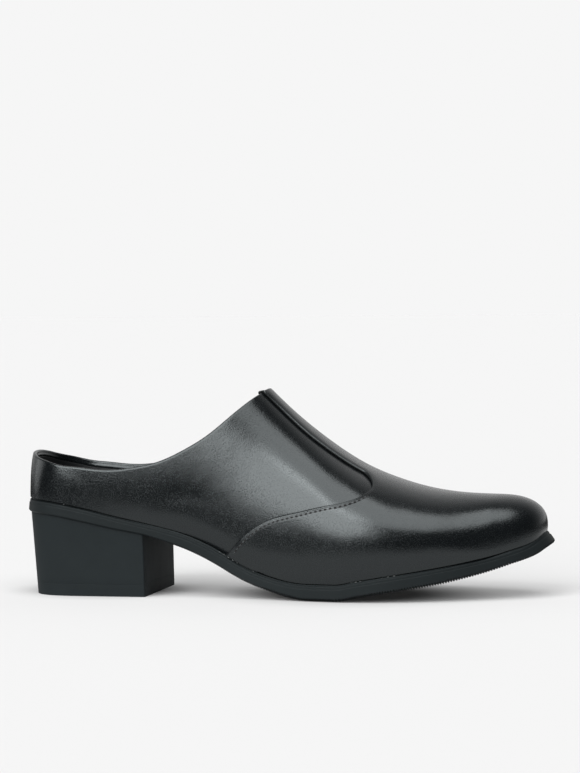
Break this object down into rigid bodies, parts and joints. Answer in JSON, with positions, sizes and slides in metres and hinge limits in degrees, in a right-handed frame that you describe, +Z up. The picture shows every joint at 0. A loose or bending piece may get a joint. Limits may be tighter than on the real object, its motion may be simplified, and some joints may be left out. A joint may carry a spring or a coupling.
{
  "type": "heeled loafer",
  "caption": "Backless leather heeled loafer with a low collar, a vamp strap up the instep, a stepped rubber outsole and a stacked block heel.",
  "frame": {"origin": "centre of the bounding box in plan, on the floor the shoe stands on", "axes": "+X from the heel to the toe, +Y towards the inner side of this right shoe, +Z up"},
  "size_m": [0.2606, 0.0818, 0.1021],
  "materials": {
    "quarter_leather": "smooth black leather with a soft sheen and a fine grain",
    "vamp_leather": "smooth black leather with a soft sheen, rolled edge and one row of stitches",
    "sole_rubber": "satin black rubber",
    "heel_rubber": "satin black moulded heel and lift, the same shade as the outsole",
    "insole_leather": "matt black lining leather"
  },
  "bodies": {
    "root": {"outsole": "sole_rubber", "heel_block": "heel_rubber", "top_lift": "heel_rubber", "upper": "quarter_leather", "vamp": "vamp_leather", "insole": "insole_leather"}
  },
  "joints": []
}
